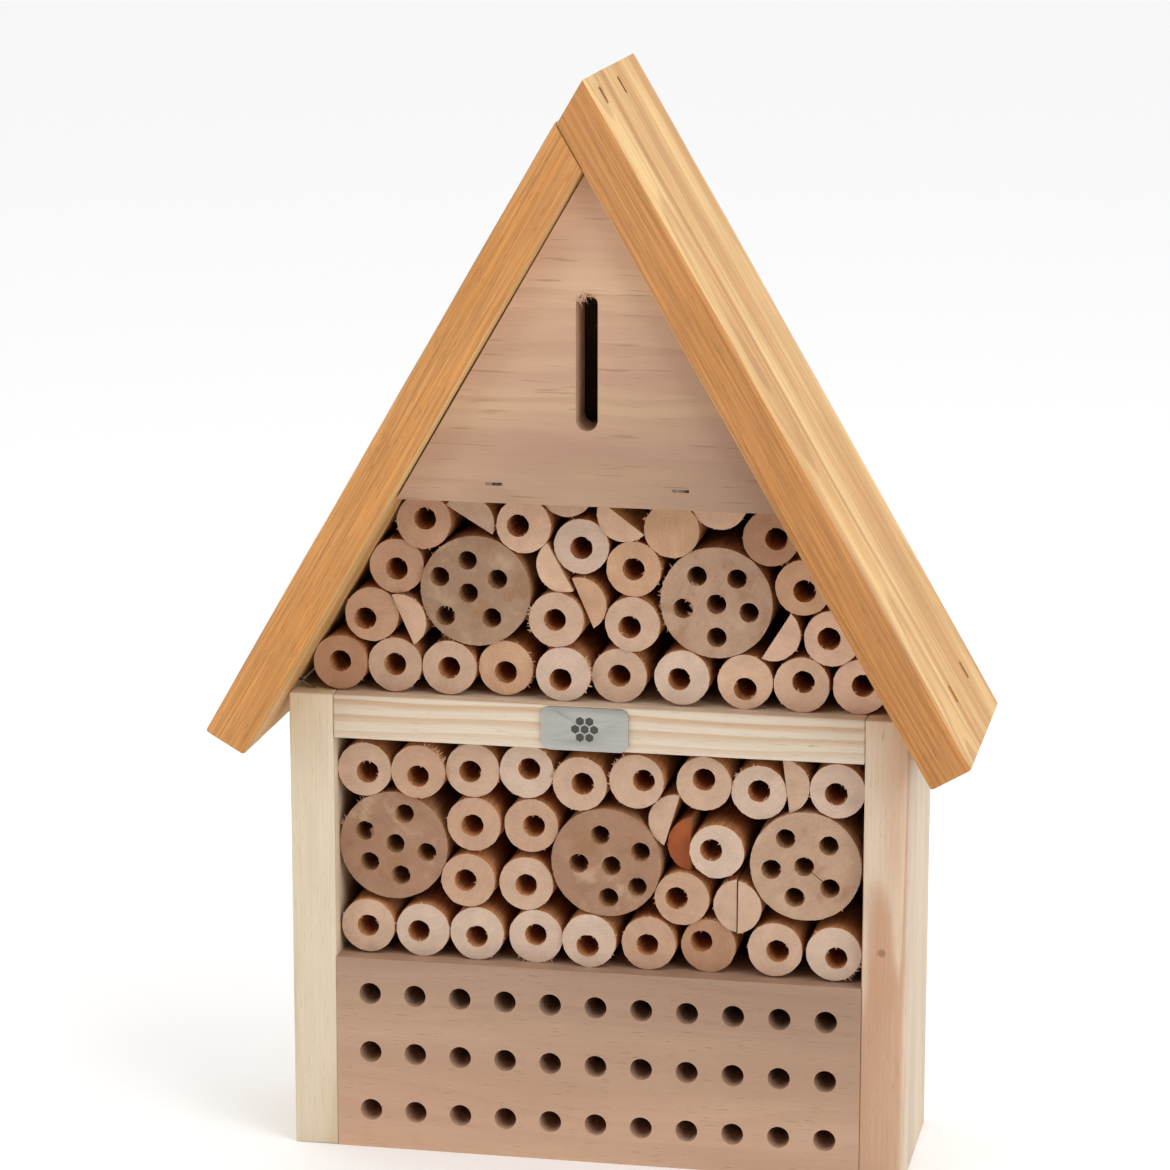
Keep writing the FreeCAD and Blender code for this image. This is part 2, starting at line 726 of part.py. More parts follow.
# node, kind, across, up, turn, how much shorter than the longest rods, bore off the middle (right, up)
UPPER_FILL = [
    ("upper_floor_rods", "rod", 0.05, 0.5, FULL, 1.0, (0.0, 0.5)),
    ("upper_floor_rods", "rod", 1.0, 0.5, FULL, 2.0, (0.0, 0.0)),
    ("upper_floor_rods", "rod", 1.95, 0.5, FULL, 1.5, (0.0, 0.0)),
    ("upper_floor_rods", "rod", 2.9, 0.5, FULL, 3.0, (0.0, -1.5)),
    ("upper_floor_rods", "rod", 3.9, 0.45, FULL, 0.5, (-1.0, -2.0)),
    ("upper_floor_rods", "rod", 4.85, 0.5, FULL, 2.5, (0.0, 0.0)),
    ("upper_floor_rods", "rod", 5.9, 0.5, FULL, 1.0, (-1.0, -0.5)),
    ("upper_floor_rods", "rod", 6.95, 0.45, FULL, 2.0, (0.0, -2.5)),
    ("upper_floor_rods", "rod", 7.9, 0.45, FULL, 1.5, (0.5, 1.0)),
    ("upper_floor_rods", "rod", 8.85, 0.45, FULL, 2.5, (1.0, 0.5)),
    ("upper_rod_1", "rod", 0.65, 1.35, FULL, 2.0, (-2.5, -1.5)),
    ("upper_half_rounds", "split", 1.1, 1.35, 24, 1.0, FULL),
    ("upper_left_round", "round", 2.35, 1.8, FULL, 1.0, FULL),
    ("upper_rod_2", "rod", 3.8, 1.45, FULL, 0.0, (-0.5, 0.0)),
    ("upper_half_rounds", "split", 4.15, 1.65, 24, 2.0, FULL),
    ("upper_rod_3", "rod", 5.05, 1.4, FULL, 1.0, (-1.0, -1.0)),
    ("upper_right_round", "round", 6.45, 1.8, FULL, 2.0, FULL),
    ("upper_half_rounds", "split", 7.4, 1.3, -32, 2.5, FULL),
    ("upper_rod_4", "rod", 8.4, 1.25, FULL, 1.5, (-1.0, 0.0)),
    ("upper_rod_5", "rod", 0.95, 2.2, FULL, 2.5, (0.0, -1.0)),
    ("upper_half_rounds", "split", 3.9, 2.3, -151, 1.0, FULL),
    ("upper_rod_6", "rod", 5.1, 2.3, FULL, 1.5, (0.0, 0.0)),
    ("upper_rod_7", "rod", 7.9, 2.1, FULL, 2.0, (0.5, -1.0)),
    ("upper_rod_8", "rod", 1.5, 2.9, FULL, 1.0, (0.5, 1.0)),
    ("upper_half_rounds", "split", 2.25, 2.95, 59, 2.0, FULL),
    ("upper_rod_9", "rod", 3.25, 2.95, FULL, 0.5, (-2.0, 0.0)),
    ("upper_half_rounds", "split", 3.95, 3.6, -90, 1.5, FULL),
    ("upper_rod_10", "rod", 4.2, 2.65, FULL, 2.0, (0.0, -0.5)),
    ("upper_half_rounds", "split", 4.95, 3.15, -127, 1.0, FULL),
    ("blank_rod", "rod", 5.7, 2.95, FULL, 1.5, FULL),
    ("upper_half_rounds", "split", 6.45, 3.45, -90, 2.0, FULL),
    ("upper_rod_11", "rod", 7.35, 2.9, FULL, 2.5, (2.0, 0.0)),
]
LOWER_FILL = [
    ("lower_floor_rods", "rod", 0.5, 0.5, FULL, 1.0, (0.0, 0.0)),
    ("lower_floor_rods", "rod", 1.45, 0.45, FULL, 1.5, (-1.5, -0.5)),
    ("lower_floor_rods", "rod", 2.4, 0.45, FULL, 1.0, (0.0, -1.0)),
    ("lower_floor_rods", "rod", 3.4, 0.45, FULL, 2.0, (0.0, 0.5)),
    ("lower_floor_rods", "rod", 4.35, 0.45, FULL, 0.5, (-0.5, -2.0)),
    ("lower_floor_rods", "rod", 5.35, 0.45, FULL, 1.5, (-0.5, -0.5)),
    ("lower_floor_rods", "rod", 6.35, 0.45, FULL, 3.0, (-2.5, 1.5)),
    ("lower_floor_rods", "rod", 7.5, 0.5, FULL, 1.0, (1.0, -0.5)),
    ("lower_floor_rods", "rod", 8.5, 0.5, FULL, 0.0, (1.0, -1.5)),
    ("lower_left_round", "round", 0.95, 1.95, FULL, 2.0, FULL),
    ("lower_rod_1", "rod", 2.25, 1.4, FULL, 1.0, (-1.0, 0.0)),
    ("lower_rod_2", "rod", 3.25, 1.35, FULL, 2.0, (0.0, -0.5)),
    ("lower_middle_round", "round", 4.6, 1.8, FULL, 1.0, FULL),
    ("lower_rod_3", "rod", 5.95, 1.3, FULL, 1.5, (-2.0, 0.0)),
    ("lower_half_rounds", "split", 6.9, 1.2, 180, 1.5, FULL),
    ("lower_half_rounds", "split", 6.8, 1.2, 0, 1.0, FULL),
    ("lower_right_round", "round", 8.0, 2.0, FULL, 0.5, FULL),
    ("lower_rod_4", "rod", 2.35, 2.4, FULL, 1.5, (-0.5, -0.5)),
    ("lower_rod_5", "rod", 3.35, 2.4, FULL, 2.0, (1.0, 0.0)),
    ("lower_half_rounds", "split", 5.8, 2.6, 163, 2.5, FULL),
    ("lower_half_rounds", "split", 6.1, 2.15, 180, 4.0, FULL),
    ("lower_rod_6", "rod", 6.5, 2.15, FULL, 0.5, (-2.0, 0.5)),
    ("lower_rod_7", "rod", 0.45, 3.25, FULL, 1.0, (1.0, -1.0)),
    ("lower_rod_8", "rod", 1.4, 3.25, FULL, 0.5, (0.0, -1.5)),
    ("lower_rod_9", "rod", 2.35, 3.3, FULL, 2.0, (-1.0, -0.5)),
    ("lower_rod_10", "rod", 3.25, 3.35, FULL, 1.5, (1.0, 1.0)),
    ("lower_rod_11", "rod", 4.15, 3.2, FULL, 1.0, (1.0, 0.0)),
    ("lower_rod_12", "rod", 5.15, 3.3, FULL, 0.0, (2.5, 0.5)),
    ("lower_rod_13", "rod", 6.3, 3.3, FULL, 1.5, (0.0, 1.5)),
    ("lower_rod_14", "rod", 7.2, 3.2, FULL, 2.0, (0.0, 0.5)),
    ("lower_half_rounds", "split", 7.6, 3.3, 8, 1.5, FULL),
    ("lower_rod_15", "rod", 8.5, 3.3, FULL, 1.0, (-0.5, -1.0)),
]

# The thick rounds have one bore near the middle and a ring of five, drilled by hand:
# the middle one's place (right, up), and the turn of each of the others.
ROUND_BORES = {
    "upper_left_round": ((-2.5, -1.0), (28, 92, 152, 225, 314)),
    "upper_right_round": ((0.0, -0.5), (52, 125, 190, 271, 348)),
    "lower_left_round": ((0.5, 0.5), (73, 159, 217, 280, 348)),
    "lower_middle_round": ((2.0, -1.0), (28, 110, 179, 265, 322)),
    "lower_right_round": ((-0.5, 0.0), (43, 124, 188, 254, 321)),
}

# ---------------------------------------------------------------- the fill: its solids
# Every piece reaches back to the back panel, so the shorter ones stand further in at the front.


def bar(name, diameter, length, short, x, z):
    """A cylinder from front to back whose rear end is at the back panel, or as far as its length."""
    item = doc.addObject("Part::Cylinder", name)
    item.setExpression("Radius", linked(diameter + " / 2"))
    item.setExpression("Height", linked(length))
    spot = Vector(x, size("body_front") + size("rod_recess") + short, z)
    item.Placement = FreeCAD.Placement(spot, FreeCAD.Rotation(ACROSS, -90))
    return item


def fill_solid(name, node, piece):
    length = "body_depth - rod_recess - %s" % piece.short
    kind = "round" if piece.kind == "round" else "rod"
    diameter = "%s_diameter * %s" % (kind, piece.thin)
    bore = "%s_bore * %s" % (kind, piece.thin)
    solid = bar(name + "_bar", diameter, length, piece.short, piece.x, piece.z)
    spots = []
    if piece.kind == "round":
        (right, up), turns = ROUND_BORES[node]
        ring = size("round_ring") * RADIUS["round"]
        spots.append((right, up))
        for turn in turns:
            angle = math.radians(turn)
            spots.append((right + ring * math.cos(angle), up + ring * math.sin(angle)))
    elif piece.kind == "rod" and piece.bore is not FULL:
        spots.append(piece.bore)
    tools = []
    for k, (right, up) in enumerate(spots, start=1):
        depth = "%s - bore_floor" % length
        x = piece.x + right * piece.thin
        z = piece.z + up * piece.thin
        tools.append(bar("%s_bore%d" % (name, k), bore, depth, piece.short, x, z))
    if piece.kind == "split":
        saw = doc.addObject("Part::Box", name + "_saw")
        saw.setExpression("Length", linked("rod_diameter"))
        saw.setExpression("Width", linked("rod_diameter * 2"))
        saw.setExpression("Height", linked(length))
        turned = FreeCAD.Rotation(ACROSS, -90) * FreeCAD.Rotation(UP, -piece.turn)
        corner = Vector(SPLIT_OFFSET * piece.radius - size("rod_diameter"), -size("rod_diameter"), 0)
        spot = Vector(piece.x, size("body_front") + size("rod_recess") + piece.short, piece.z)
        saw.Placement = FreeCAD.Placement(spot + turned.multVec(corner), turned)
        tools.append(saw)
    if not tools:
        return solid
    cut = doc.addObject("Part::Cut", name)
    cut.Base = solid
    cut.Tool = group(name + "_tools", tools) if len(tools) > 1 else tools[0]
    return cut


fill = {}
for label, plan, floor, walls in (
    ("upper", UPPER_FILL, size("side_height"), upper_walls),
    ("lower", LOWER_FILL, size("block_height"), lower_walls),
):
    pieces = arranged(plan, floor, walls)
    for number, (entry, piece) in enumerate(zip(plan, pieces), start=1):
        solid = fill_solid("%s_fill%d" % (label, number), entry[0], piece)
        fill.setdefault(entry[0], []).append(solid)
for node, solids in fill.items():
    keep(node, solids[0] if len(solids) == 1 else group(node + "_group", solids))

# ---------------------------------------------------------------- checks and export

doc.recompute()
for item in doc.Objects:
    if "Invalid" in item.State or "Error" in item.State:
        raise RuntimeError(item.Label + " is in a wrong state")
for node, item in NODES.items():
    if item.Shape.isNull() or not item.Shape.isValid():
        raise RuntimeError(node + " has no sound shape")
    item.Shape.exportStep("parts/" + node + ".step")
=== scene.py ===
import json
import math
import random

import bpy
from mathutils import Matrix, Vector


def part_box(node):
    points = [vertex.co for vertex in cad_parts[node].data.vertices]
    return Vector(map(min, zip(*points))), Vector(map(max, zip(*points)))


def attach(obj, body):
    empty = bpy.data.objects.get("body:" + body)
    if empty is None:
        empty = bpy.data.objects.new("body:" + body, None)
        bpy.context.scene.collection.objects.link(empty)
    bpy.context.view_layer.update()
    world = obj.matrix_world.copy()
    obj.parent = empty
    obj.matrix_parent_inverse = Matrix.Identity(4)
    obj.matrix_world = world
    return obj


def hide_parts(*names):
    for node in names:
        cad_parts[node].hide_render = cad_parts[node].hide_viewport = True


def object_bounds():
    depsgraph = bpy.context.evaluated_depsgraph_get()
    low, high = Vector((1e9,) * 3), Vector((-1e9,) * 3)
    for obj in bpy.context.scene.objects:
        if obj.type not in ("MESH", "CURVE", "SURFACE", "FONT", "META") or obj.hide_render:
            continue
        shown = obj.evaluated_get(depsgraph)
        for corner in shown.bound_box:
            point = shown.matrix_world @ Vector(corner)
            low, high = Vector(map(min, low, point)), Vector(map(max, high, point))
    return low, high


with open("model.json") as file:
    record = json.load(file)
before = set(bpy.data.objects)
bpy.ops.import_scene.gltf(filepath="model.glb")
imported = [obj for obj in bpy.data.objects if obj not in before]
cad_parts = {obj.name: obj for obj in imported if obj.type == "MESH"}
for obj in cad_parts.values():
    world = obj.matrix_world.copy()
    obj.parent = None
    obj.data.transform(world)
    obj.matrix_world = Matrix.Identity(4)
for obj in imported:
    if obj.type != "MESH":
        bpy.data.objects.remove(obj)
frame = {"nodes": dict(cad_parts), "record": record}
cad_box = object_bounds()
mm = 0.001

# ---- Roof boards ----
# Two planed boards of larch, stained honey orange, mitred at the ridge: the right one runs over
# the end of the left one. Their arrises are eased, and both have bowed outwards in drying.

ROOF_BOW = 0.35 * mm
EAVE_EASE = 0.8 * mm
ROOF_WAVES = 0.25 * mm
CUTS_ALONG = 36
CUTS_ACROSS = 12
NEAR = 0.05 * mm
LARCH_TOP = (199, 149, 88)
LARCH_TOP_LATE = (168, 113, 60)
LARCH_TOP_PALE = (228, 190, 130)
LARCH_FRONT_PALE = (214, 154, 96)
LATE_SHARES = (0.85, 0.75, 0.66)


def dye(red, green, blue):
    """A colour mixed in screen values from 0 to 255, as the shader's linear light."""
    light = []
    for value in (red, green, blue):
        share = value / 255
        light.append(share / 12.92 if value <= 10 else ((share + 0.055) / 1.055) ** 2.4)
    return (*light, 1.0)


def copy_of(node, name):
    """The CAD node's own solid as a new piece, with its loose triangles merged into one skin."""
    piece = bpy.data.objects.new(name, frame["nodes"][node].data.copy())
    piece.data.name = name
    piece.data.materials.clear()
    bpy.context.collection.objects.link(piece)
    pick(piece)
    bpy.ops.object.mode_set(mode="EDIT")
    bpy.ops.mesh.select_all(action="SELECT")
    bpy.ops.mesh.remove_doubles(threshold=0.002 * mm)
    bpy.ops.mesh.dissolve_limited(angle_limit=math.radians(0.5))
    bpy.ops.object.mode_set(mode="OBJECT")
    if "custom_normal" in piece.data.attributes:
        piece.data.attributes.remove(piece.data.attributes["custom_normal"])
    return piece


def pick(*pieces):
    """Selects only these pieces, the first one active."""
    bpy.ops.object.select_all(action="DESELECT")
    for piece in pieces:
        piece.select_set(True)
    bpy.context.view_layer.objects.active = pieces[0]


def apply_modifier(piece, kind, **settings):
    """Adds one modifier, sets it up and applies it."""
    modifier = piece.modifiers.new(kind.title(), kind)
    for setting, value in settings.items():
        setattr(modifier, setting, value)
    pick(piece)
    bpy.ops.object.modifier_apply(modifier=modifier.name)


def cut_across(piece, along, first, last, cuts):
    """Saws evenly spaced edge rings into a piece, square to one direction, so that it can bend."""
    pick(piece)
    bpy.ops.object.mode_set(mode="EDIT")
    for k in range(1, cuts + 1):
        bpy.ops.mesh.select_all(action="SELECT")
        place = first.lerp(last, k / (cuts + 1))
        bpy.ops.mesh.bisect(plane_co=place, plane_no=along)
    bpy.ops.object.mode_set(mode="OBJECT")


def lumps(name, grain_size, depth=1):
    """Soft cloudy lumps of one size, for uneven surfaces."""
    texture = bpy.data.textures.new(name, "CLOUDS")
    texture.noise_scale = grain_size
    texture.noise_depth = depth
    return texture


def roughen(piece, texture, height, group=""):
    """Pushes the skin in and out by up to half of the height."""
    apply_modifier(
        piece, "DISPLACE", texture=texture, texture_coords="LOCAL", strength=height, mid_level=0.5,
        vertex_group=group,
    )


def ease_sharp(piece, width, segments=2, least=60):
    """Bevels every edge that turns by more than the least angle."""
    least = math.radians(least)
    apply_modifier(piece, "BEVEL", width=width, segments=segments, limit_method="ANGLE", angle_limit=least)


def smooth(piece, angle=32):
    """Shades a piece smooth, except over edges sharper than the angle."""
    pick(piece)
    bpy.ops.object.shade_smooth_by_angle(angle=math.radians(angle))


def finish_piece(piece, slot, *nodes):
    """Fixes a finished piece to the house and lets it stand for its CAD nodes."""
    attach(piece, "root")
    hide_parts(*nodes)


# The wood shaders are built from a few small steps.

def plug(tree, socket, value):
    """Joins another node's output to a socket, or sets the socket to a plain value."""
    if isinstance(value, bpy.types.NodeSocket):
        tree.links.new(value, socket)
    else:
        socket.default_value = value


def joint(tree, kind, links=(), **settings):
    """One shader node with its settings, and its inputs as links or plain values."""
    made = tree.nodes.new("ShaderNode" + kind)
    for setting, value in settings.items():
        setattr(made, setting, value)
    for socket, value in dict(links).items():
        plug(tree, made.inputs[socket], value)
    return made


def sums(tree, operation, first, second=0.0):
    return joint(tree, "Math", {0: first, 1: second}, operation=operation).outputs[0]


def plus(tree, first, second):
    return sums(tree, "ADD", first, second)


def times(tree, first, second):
    return sums(tree, "MULTIPLY", first, second)


def off_axis(tree, first, second):
    """Distance from an axis, given the two coordinates square to it."""
    return sums(tree, "SQRT", plus(tree, times(tree, first, first), times(tree, second, second)))


def stretched(tree, vector, factors):
    """A vector multiplied axis by axis."""
    return joint(tree, "VectorMath", {0: vector, 1: factors}, operation="MULTIPLY").outputs[0]


def in_millimetres(tree, place):
    return stretched(tree, place, (1 / mm, 1 / mm, 1 / mm))


def cloud(tree, where, stretch, detail=2.0, roughness=0.5):
    """Noise from 0 to 1, where stretch gives its patches per millimetre along X, Y and Z."""
    spot = stretched(tree, where, stretch)
    links = {"Vector": spot, "Scale": 1.0, "Detail": detail, "Roughness": roughness}
    return joint(tree, "TexNoise", links).outputs[0]


def between(tree, value, low, high, to_low=0.0, to_high=1.0):
    """Spreads a value smoothly from one range to another."""
    links = {0: value, 1: low, 2: high, 3: to_low, 4: to_high}
    return joint(tree, "MapRange", links, interpolation_type="SMOOTHSTEP").outputs[0]


def blend(tree, share, first, second, how="MIX"):
    """Lays a share of the second colour over the first."""
    made = joint(tree, "Mix", {0: share}, data_type="RGBA", blend_type=how)
    plug(tree, made.inputs[6], first)
    plug(tree, made.inputs[7], second)
    return made.outputs[2]


def tinted(tree, colour, tint):
    """A colour made lighter or darker by a grey value, where 1 leaves it alone."""
    grey = joint(tree, "CombineColor", {0: tint, 1: tint, 2: tint}).outputs[0]
    return blend(tree, 1.0, colour, grey, "MULTIPLY")


def start_material(name):
    material = bpy.data.materials.new(name)
    material.use_nodes = True
    tree = material.node_tree
    tree.nodes.clear()
    return material, tree


def close_material(tree, colour, roughness, height, bump, specular=0.35):
    """Colour, roughness and relief into the one surface shader. Height and bump are in millimetres."""
    relief = joint(tree, "Bump", {"Height": height, "Distance": bump * mm, "Strength": 1.0}).outputs[0]
    skin = joint(tree, "BsdfPrincipled", {"Base Color": colour, "Roughness": roughness, "Normal": relief})
    skin.inputs["Specular IOR Level"].default_value = specular
    tree.links.new(skin.outputs[0], joint(tree, "OutputMaterial").inputs[0])


def board_wood(
    name, turn, heart, ring, early, late, pale, line=0.8, wander=2.0, dashes=0.35, drift=0.6,
    specular=0.35, speck=0.0, soft=0.5, pores=(0.16, 2.6, 2.6), knot=None, painted_light_slope=None,
):
    """Planed wood cut from a log: rings round the heart, fibres and pores along the grain.

    Turn lays the grain, heart is where the log's middle runs, and ring is the ring width in
    millimetres. Early, late and pale are the spring wood, the summer wood and the paler patches.
    Line, dashes, drift and speck say how strong the summer rings, the pores, the patches and the
    dark flecks are, wander how many millimetres the rings sway, and soft how streaky the fibres
    are. Knot is the middle of a pin knot. The last setting is painted light and shade: the
    brightness at the origin, and how much it changes in each millimetre to the right and upwards.
    it changes in each millimetre to the right and upwards.
    """
    material, tree = start_material(name)
    place = joint(tree, "TexCoord").outputs["Object"]
    laid = {"Vector": place, "Location": heart, "Rotation": turn, "Scale": (mm, mm, mm)}
    log = joint(tree, "Mapping", laid, vector_type="TEXTURE").outputs[0]

    slow = {"Vector": stretched(tree, log, (0.006, 0.02, 0.02)), "Scale": 1.0, "Detail": 1.5}
    sway = joint(tree, "TexNoise", slow).outputs["Color"]
    sway = joint(tree, "VectorMath", {0: sway, 1: (0.5, 0.5, 0.5)}, operation="SUBTRACT").outputs[0]
    sway = stretched(tree, sway, (0.0, 2 * wander, 2 * wander))
    swayed = joint(tree, "VectorMath", {0: log, 1: sway}, operation="ADD").outputs[0]
    part = joint(tree, "SeparateXYZ", {0: swayed}).outputs
    radius = off_axis(tree, part[1], part[2])

    uneven = {"W": times(tree, radius, 0.35 / ring), "Scale": 1.0, "Detail": 1.0}
    years = joint(tree, "TexNoise", uneven, noise_dimensions="1D").outputs[0]
    phase = plus(tree, sums(tree, "DIVIDE", radius, ring), times(tree, years, 2.6))
    year = sums(tree, "FRACT", phase)
    summer = times(tree, between(tree, year, 0.35, 0.86), between(tree, year, 0.9, 1.0, 1.0, 0.0))
    count = sums(tree, "FLOOR", phase)
    each = joint(tree, "TexWhiteNoise", {"W": count}, noise_dimensions="1D").outputs[0]
    summer = times(tree, summer, plus(tree, times(tree, each, 0.7), 0.3))

    fibre = cloud(tree, log, (0.03, 1.8, 1.8), 3.0, 0.6)
    dash = between(tree, cloud(tree, log, pores, 2.0, 0.5), 0.63, 0.74)
    patch = between(tree, cloud(tree, log, (0.007, 0.05, 0.05), 3.0, 0.55), 0.35, 0.68)

    colour = blend(tree, times(tree, patch, drift), dye(*early), dye(*pale))
    colour = blend(tree, times(tree, summer, line), colour, dye(*late))
    colour = tinted(tree, colour, between(tree, fibre, 0.3, 0.7, 1.0 - 0.16 * soft, 1.0 + 0.10 * soft))
    colour = blend(tree, times(tree, dash, dashes), colour, dye(*[tone * 0.66 for tone in late]))
    if speck:
        fleck = between(tree, cloud(tree, log, (0.10, 0.55, 0.55), 1.0, 0.4), 0.79, 0.84)
        colour = blend(tree, times(tree, fleck, speck), colour, dye(*[tone * 0.42 for tone in late]))
    # Painted light and shade: the colour is made lighter or darker in an even slope across the piece.
    if painted_light_slope:
        level, to_right, upward = painted_light_slope
        spot = joint(tree, "SeparateXYZ", {0: place}).outputs
        slant = plus(tree, times(tree, spot[0], to_right / mm), times(tree, spot[2], upward / mm))
        colour = tinted(tree, colour, plus(tree, level, slant))
    if knot is not None:
        span = joint(tree, "VectorMath", {0: place, 1: knot}, operation="DISTANCE").outputs["Value"]
        colour = blend(tree, between(tree, span, 0.7 * mm, 2.0 * mm, 0.6, 0.0), colour, dye(128, 74, 44))

    height = plus(tree, times(tree, summer, 0.5), times(tree, fibre, 0.8))
    height = sums(tree, "SUBTRACT", height, times(tree, dash, 0.8))
    close_material(tree, colour, between(tree, fibre, 0.2, 0.8, 0.52, 0.72), height, 0.12, specular)
    return material


def sloping_board(node):
    """Middle, direction, length, depth and slope of a roof board, read off its CAD solid."""
    mesh = frame["nodes"][node].data
    face = max(mesh.polygons, key=lambda polygon: polygon.area).normal
    slope = math.atan2(face.x, face.z) if face.z > 0 else math.atan2(-face.x, -face.z)
    along = Vector((math.cos(slope), 0, -math.sin(slope)))
    across = Vector((math.sin(slope), 0, math.cos(slope)))
    low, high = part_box(node)
    runs = [along.dot(vertex.co) for vertex in mesh.vertices]
    rises = [across.dot(vertex.co) for vertex in mesh.vertices]
    middle = along * (min(runs) + max(runs)) / 2 + across * (min(rises) + max(rises)) / 2
    middle.y = (low.y + high.y) / 2
    return middle, along, max(runs) - min(runs), high.y - low.y, slope


def ease_edges(piece, wanted, width, segments=3):
    """Bevels the sharp edges whose two ends are both wanted."""
    pick(piece)
    bpy.ops.object.mode_set(mode="EDIT")
    bpy.ops.mesh.select_mode(type="EDGE")
    bpy.ops.mesh.select_all(action="DESELECT")
    bpy.ops.mesh.edges_select_sharp(sharpness=math.radians(50))
    bpy.ops.object.mode_set(mode="OBJECT")
    for edge in piece.data.edges:
        edge.select = edge.select and all(wanted(piece.data.vertices[k].co) for k in edge.vertices)
    bpy.ops.object.mode_set(mode="EDIT")
    bpy.ops.mesh.bevel(offset=width, segments=segments, affect="EDGES")
    bpy.ops.object.mode_set(mode="OBJECT")


def paint_faces(piece, slot_number, direction, least=0.7):
    """Gives one of the piece's materials to the faces that look in a direction."""
    for polygon in piece.data.polygons:
        if polygon.normal.dot(direction) > least:
            polygon.material_index = slot_number


FRONT = Vector((0, -1, 0))
REAR = Vector((0, 1, 0))
sawn = lumps("saw_waves", 26 * mm)
for side, outward, heart, ring, front_tone in (
    ("left", -1, (-0.020, 0.110, -0.060), 2.3, (206, 141, 70)),
    ("right", 1, (0.060, -0.034, 0.140), 2.6, (188, 125, 60)),
):
    node = side + "_roof_board"
    middle, along, length, depth, slope = sloping_board(node)
    board = copy_of(node, side + "_roof_plank")
    at_eave = length / 2 - NEAR
    ease_edges(board, lambda spot: outward * along.dot(spot - middle) > at_eave, EAVE_EASE)
    half = along * length / 2
    cut_across(board, along, middle - half, middle + half, CUTS_ALONG)
    half = REAR * depth / 2
    cut_across(board, REAR, middle - half, middle + half, CUTS_ACROSS)

    bow = board.vertex_groups.new(name="bow")
    for vertex in board.data.vertices:
        share = along.dot(vertex.co - middle) / length + 0.5
        bow.add([vertex.index], max(0.0, 4 * share * (1 - share)), "REPLACE")
    apply_modifier(board, "DISPLACE", direction="Z", strength=ROOF_BOW, mid_level=0.0, vertex_group="bow")
    board.vertex_groups.clear()
    roughen(board, sawn, ROOF_WAVES)

    front_late = tuple(tone * share for tone, share in zip(front_tone, LATE_SHARES))
    board.data.materials.append(board_wood(
        "larch_top_" + side, (0, slope, 0), heart, ring * 0.6, LARCH_TOP, LARCH_TOP_LATE, LARCH_TOP_PALE,
        line=0.7, wander=3.0, dashes=0.2, drift=0.9, specular=0.5, speck=0.2, soft=1.6,
    ))
    board.data.materials.append(board_wood(
        "larch_front_" + side, (0, slope, 0), heart, ring, front_tone, front_late, LARCH_FRONT_PALE,
        line=0.55, wander=4.0, dashes=0.4, drift=0.5, specular=0.5, speck=0.8, soft=1.5,
    ))
    smooth(board)
    paint_faces(board, 1, FRONT)
    paint_faces(board, 1, REAR)
    finish_piece(board, "stained_larch", node)

# ---- Side boards and shelf ----
# Planed spruce, left bare. The boards stand upright with their grain, and the shelf lies between
# them. The edges are lightly eased, the outer front one of the right board much more.

SPRUCE = (219, 200, 170)
SPRUCE_PALE = (226, 210, 186)
PINK_SPRUCE = (210, 179, 150)
SHELF_SPRUCE = (220, 203, 181)
BOARD_EASE = 0.7 * mm
SOFT_CORNER = 3.0 * mm
PLANE_WAVES = 0.2 * mm
PIN_KNOT = Vector((7 * mm, 0, 85 * mm))
UPRIGHT = (0, -math.pi / 2, 0)
LYING = (0, 0, 0)


def straight_board(node, name):
    """A plain board that fills its CAD node's box."""
    low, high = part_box(node)
    bpy.ops.object.select_all(action="DESELECT")
    bpy.ops.mesh.primitive_cube_add(size=1, location=(low + high) / 2, scale=high - low)
    board = bpy.context.object
    board.name = name
    bpy.ops.object.transform_apply(location=True, rotation=True, scale=True)
    return board


def round_upright_edge(board, x, y, radius):
    """Rounds the one edge that stands upright at x and y."""
    pick(board)
    bpy.ops.object.mode_set(mode="EDIT")
    bpy.ops.mesh.select_mode(type="EDGE")
    bpy.ops.mesh.select_all(action="DESELECT")
    bpy.ops.object.mode_set(mode="OBJECT")
    for edge in board.data.edges:
        ends = [board.data.vertices[k].co for k in edge.vertices]
        edge.select = all(abs(end.x - x) < NEAR and abs(end.y - y) < NEAR for end in ends)
    bpy.ops.object.mode_set(mode="EDIT")
    bpy.ops.mesh.bevel(offset=radius, segments=7, affect="EDGES")
    bpy.ops.object.mode_set(mode="OBJECT")


for node, name, turn, heart, ring, early, late, line in (
    ("left_side_board", "left_upright", UPRIGHT, (-0.1, 0.06, 0), 1.8, SPRUCE, (178, 140, 94), 0.85),
    ("right_side_board", "right_upright", UPRIGHT, (0.10, 0.12, 0), 1.2, PINK_SPRUCE, (172, 100, 60), 1.0),
    ("shelf", "bay_shelf", LYING, (0, 0.14, 0.10), 1.9, SHELF_SPRUCE, (192, 148, 102), 0.75),
):
    board = straight_board(node, name)
    low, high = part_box(node)
    softened = node == "right_side_board"
    if softened:
        round_upright_edge(board, high.x, low.y, SOFT_CORNER)
    ease_sharp(board, BOARD_EASE, segments=3)
    longest = Vector((0, 0, 1)) if turn == UPRIGHT else Vector((1, 0, 0))
    cut_across(board, longest, low, Vector((high.x, low.y, high.z)), 24)
    cut_across(board, REAR, low, Vector((low.x, high.y, low.z)), 7)
    roughen(board, sawn, PLANE_WAVES)
    board.data.materials.append(board_wood(
        "spruce_" + name, turn, heart, ring, early, late, SPRUCE_PALE, line=line, dashes=0.1, speck=0.3,
        soft=0.4, knot=low + PIN_KNOT if softened else None,
    ))
    smooth(board)
    if softened:
        board.data.materials.append(board_wood(
            "spruce_outside", turn, heart, ring, (197, 178, 156), (186, 150, 118), SPRUCE_PALE, line=0.4,
        ))
        paint_faces(board, 1, Vector((1, 0, 0)), 0.8)
    finish_piece(board, "planed_spruce", node)

# ---- Drilled block ----
# One length of planed alder, drilled from the front with rows of blind bores. It closes the house
# at the bottom, between the two side boards.

